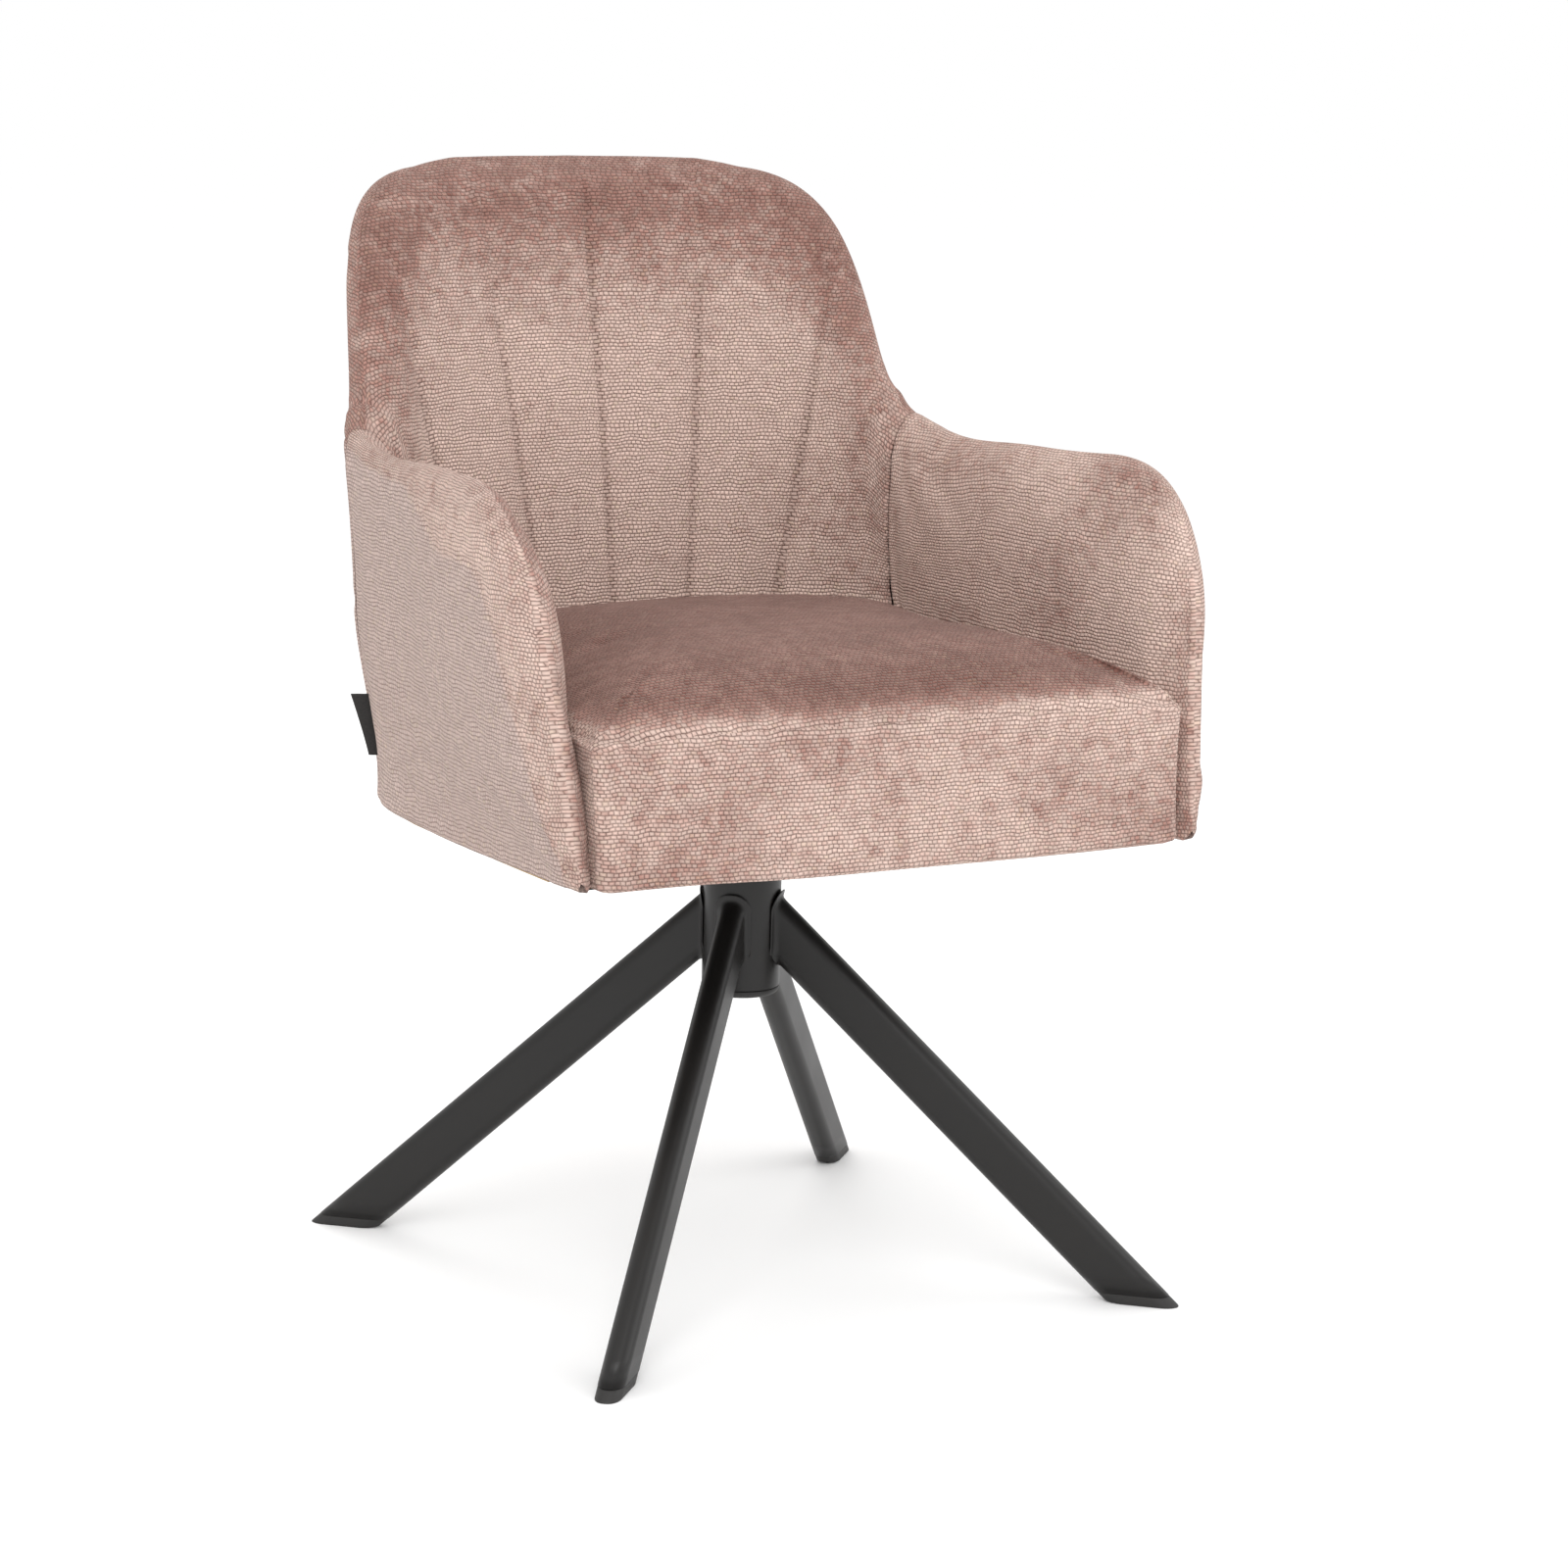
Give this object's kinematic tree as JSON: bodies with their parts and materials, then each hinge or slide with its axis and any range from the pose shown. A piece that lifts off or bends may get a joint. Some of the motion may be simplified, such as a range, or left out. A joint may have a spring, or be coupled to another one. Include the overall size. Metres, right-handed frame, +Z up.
{
  "type": "upholstered swivel armchair",
  "caption": "Upholstered tub armchair with a channelled back and padded arms, turning on a round hub with splayed flat-oval steel legs.",
  "frame": {"origin": "middle of the chair's outline, on the floor", "axes": "+Z up, -Y the way the seat faces, +X to the sitter's left"},
  "size_m": [0.5912, 0.631, 0.87],
  "materials": {
    "chenille": "dusty rose chenille with a fine basket weave, matt",
    "frame_steel": "satin black powder coat",
    "black_plastic": "matt black moulded plastic",
    "nylon": "natural nylon",
    "plywood": "raw plywood",
    "dust_cloth": "black non-woven cloth",
    "fastener_steel": "zinc-plated steel",
    "tag_tape": "black woven tape, blank"
  },
  "bodies": {
    "base": {"hub_tube": "frame_steel", "hub_end_cap": "black_plastic", "upper_bush": "nylon", "lower_bush": "nylon", "leg_rear_left": "frame_steel", "glide_rear_left": "black_plastic", "leg_rear_right": "frame_steel", "glide_rear_right": "black_plastic", "leg_front_right": "frame_steel", "glide_front_right": "black_plastic", "leg_front_left": "frame_steel", "glide_front_left": "black_plastic"},
    "seat": {"spindle": "fastener_steel", "retaining_clip": "fastener_steel", "lower_washer": "fastener_steel", "thrust_washer": "fastener_steel", "swivel_plate": "frame_steel", "seat_board": "plywood", "dust_cover": "dust_cloth", "back_board": "plywood", "left_arm_board": "plywood", "right_arm_board": "plywood", "back_upholstery": "chenille", "left_arm_upholstery": "chenille", "right_arm_upholstery": "chenille", "seat_cushion": "chenille", "side_tag": "tag_tape", "seat_bolt_1": "fastener_steel", "bolt_washer_1": "fastener_steel", "tee_nut_1": "fastener_steel", "seat_bolt_2": "fastener_steel", "bolt_washer_2": "fastener_steel", "tee_nut_2": "fastener_steel", "seat_bolt_3": "fastener_steel", "bolt_washer_3": "fastener_steel", "tee_nut_3": "fastener_steel", "seat_bolt_4": "fastener_steel", "bolt_washer_4": "fastener_steel", "tee_nut_4": "fastener_steel", "frame_screw_1": "fastener_steel", "frame_screw_2": "fastener_steel", "frame_screw_3": "fastener_steel", "frame_screw_4": "fastener_steel", "frame_screw_5": "fastener_steel", "frame_screw_6": "fastener_steel", "frame_screw_7": "fastener_steel"}
  },
  "joints": [
    {"name": "seat_swivel", "type": "hinge", "parent": "base", "child": "seat", "pos_m": [0, -0.045, 0.3], "axis": [0, 0, 1], "continuous": true}
  ]
}
